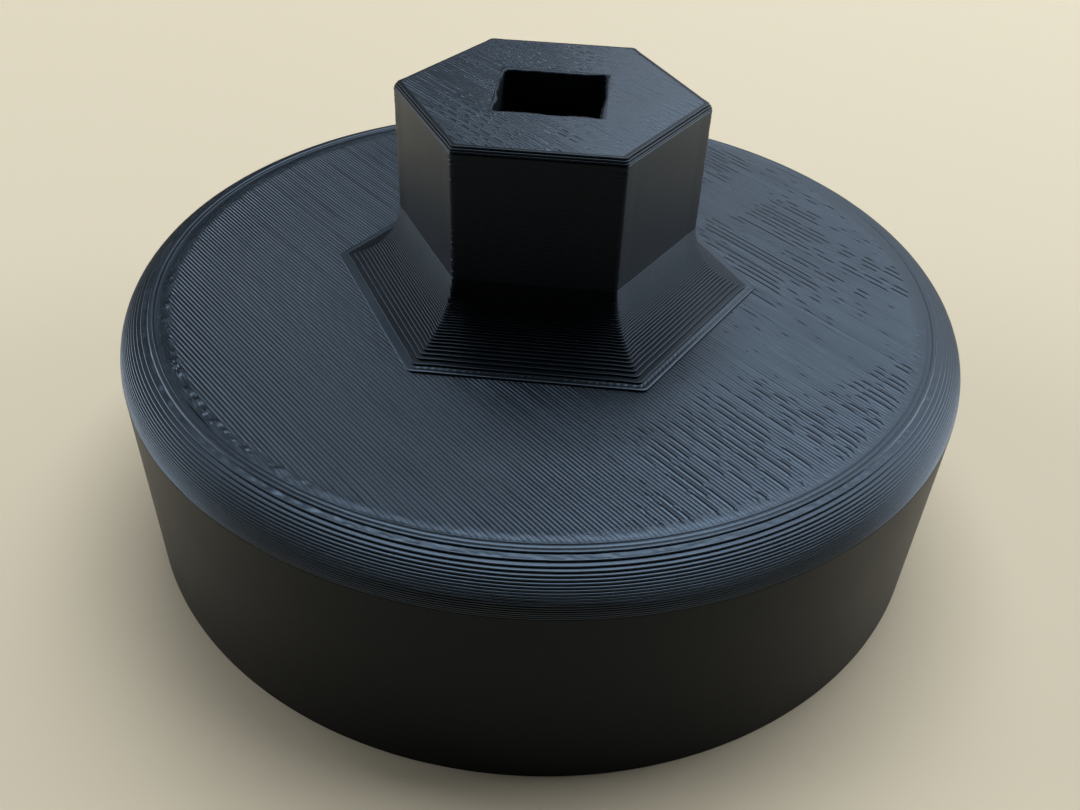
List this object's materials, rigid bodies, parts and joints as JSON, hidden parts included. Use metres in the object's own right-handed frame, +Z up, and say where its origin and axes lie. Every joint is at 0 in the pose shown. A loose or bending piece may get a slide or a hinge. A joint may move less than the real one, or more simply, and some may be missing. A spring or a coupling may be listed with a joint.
{
  "type": "oil filter wrench",
  "caption": "Cap-style oil filter wrench printed in black plastic: an open cup with inner flats, a rounded shoulder, and a flared hexagonal boss with a square drive hole.",
  "frame": {"origin": "centre of the rim's foot, on the surface that the open cup stands on", "axes": "+Z up along the drive axis, from the open cup to the boss; two flats of the hexagon face along +Y and -Y"},
  "size_m": [0.084, 0.084, 0.044],
  "materials": {
    "black_print": "satin black filament with layer lines"
  },
  "bodies": {
    "root": {"cup_outer_wall": "black_print", "cup_inner_wall": "black_print", "wall_infill": "black_print", "rim_base_skin": "black_print", "ceiling_skin": "black_print", "deck_infill": "black_print", "deck_top_skin": "black_print", "boss_wall": "black_print", "boss_infill": "black_print", "socket_wall": "black_print", "boss_top_skin": "black_print"}
  },
  "joints": []
}
